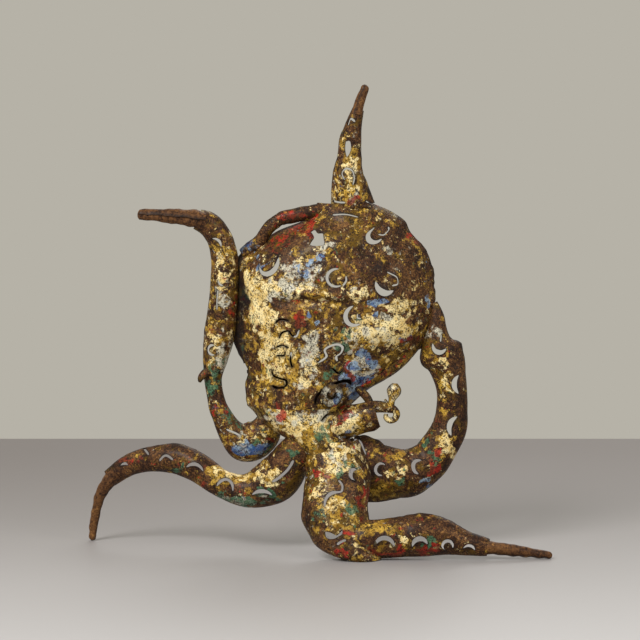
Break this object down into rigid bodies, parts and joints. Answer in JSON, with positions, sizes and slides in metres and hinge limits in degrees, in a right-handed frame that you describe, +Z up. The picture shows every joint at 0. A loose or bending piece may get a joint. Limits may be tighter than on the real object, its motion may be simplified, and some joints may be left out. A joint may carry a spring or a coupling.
{
  "type": "octopus sculpture",
  "caption": "Free-standing octopus of hammered, chisel-cut sheet steel with flaking paint over rust: domed mantle, eye disc and curling open-backed arms, resting on three points.",
  "frame": {"origin": "on the ground, under the centre of the whole sculpture's box", "axes": "+Z up, +X to the viewer's right, the viewer stands on the -Y side, where the sheets bulge"},
  "size_m": [0.4632, 0.1344, 0.4723],
  "materials": {
    "painted_sheet": "hammered sheet, worn cream, yellow, blue, green and red paint over dark rust, waxed",
    "rusty_rolled_tip": "rolled sheet, mostly bare brown rust, waxed",
    "dark_rear_sheet": "blackened steel with thin rust",
    "weld_bead": "rough brown weld metal"
  },
  "bodies": {
    "root": {"eye_disc": "painted_sheet", "foot_arm": "painted_sheet", "foot_arm_tip": "rusty_rolled_tip", "forked_curl": "painted_sheet", "front_leg": "painted_sheet", "head_face_plate": "painted_sheet", "lower_left_arm": "painted_sheet", "lower_left_arm_tip": "rusty_rolled_tip", "mantle_front_shell": "painted_sheet", "mantle_lower_fold": "painted_sheet", "mantle_side_wall": "dark_rear_sheet", "rear_hub_plate": "dark_rear_sheet", "right_loop_arm": "painted_sheet", "shoulder_strap": "painted_sheet", "siphon_tube": "painted_sheet", "top_arm": "painted_sheet", "top_arm_tip": "rusty_rolled_tip", "upper_left_arm": "painted_sheet", "upper_left_arm_tip": "rusty_rolled_tip", "weld_eye": "weld_bead", "weld_foot_arm": "weld_bead", "weld_foot_tip": "weld_bead", "weld_forked_curl": "weld_bead", "weld_front_leg": "weld_bead", "weld_head": "weld_bead", "weld_loop_base": "weld_bead", "weld_loop_top": "weld_bead", "weld_lower_fold": "weld_bead", "weld_lower_left_arm": "weld_bead", "weld_lower_left_tip": "weld_bead", "weld_rear_hub": "weld_bead", "weld_shoulder_strap": "weld_bead", "weld_side_wall": "weld_bead", "weld_siphon": "weld_bead", "weld_top_arm": "weld_bead", "weld_top_arm_tip": "weld_bead", "weld_upper_left_arm": "weld_bead", "weld_upper_left_tip": "weld_bead"}
  },
  "joints": []
}
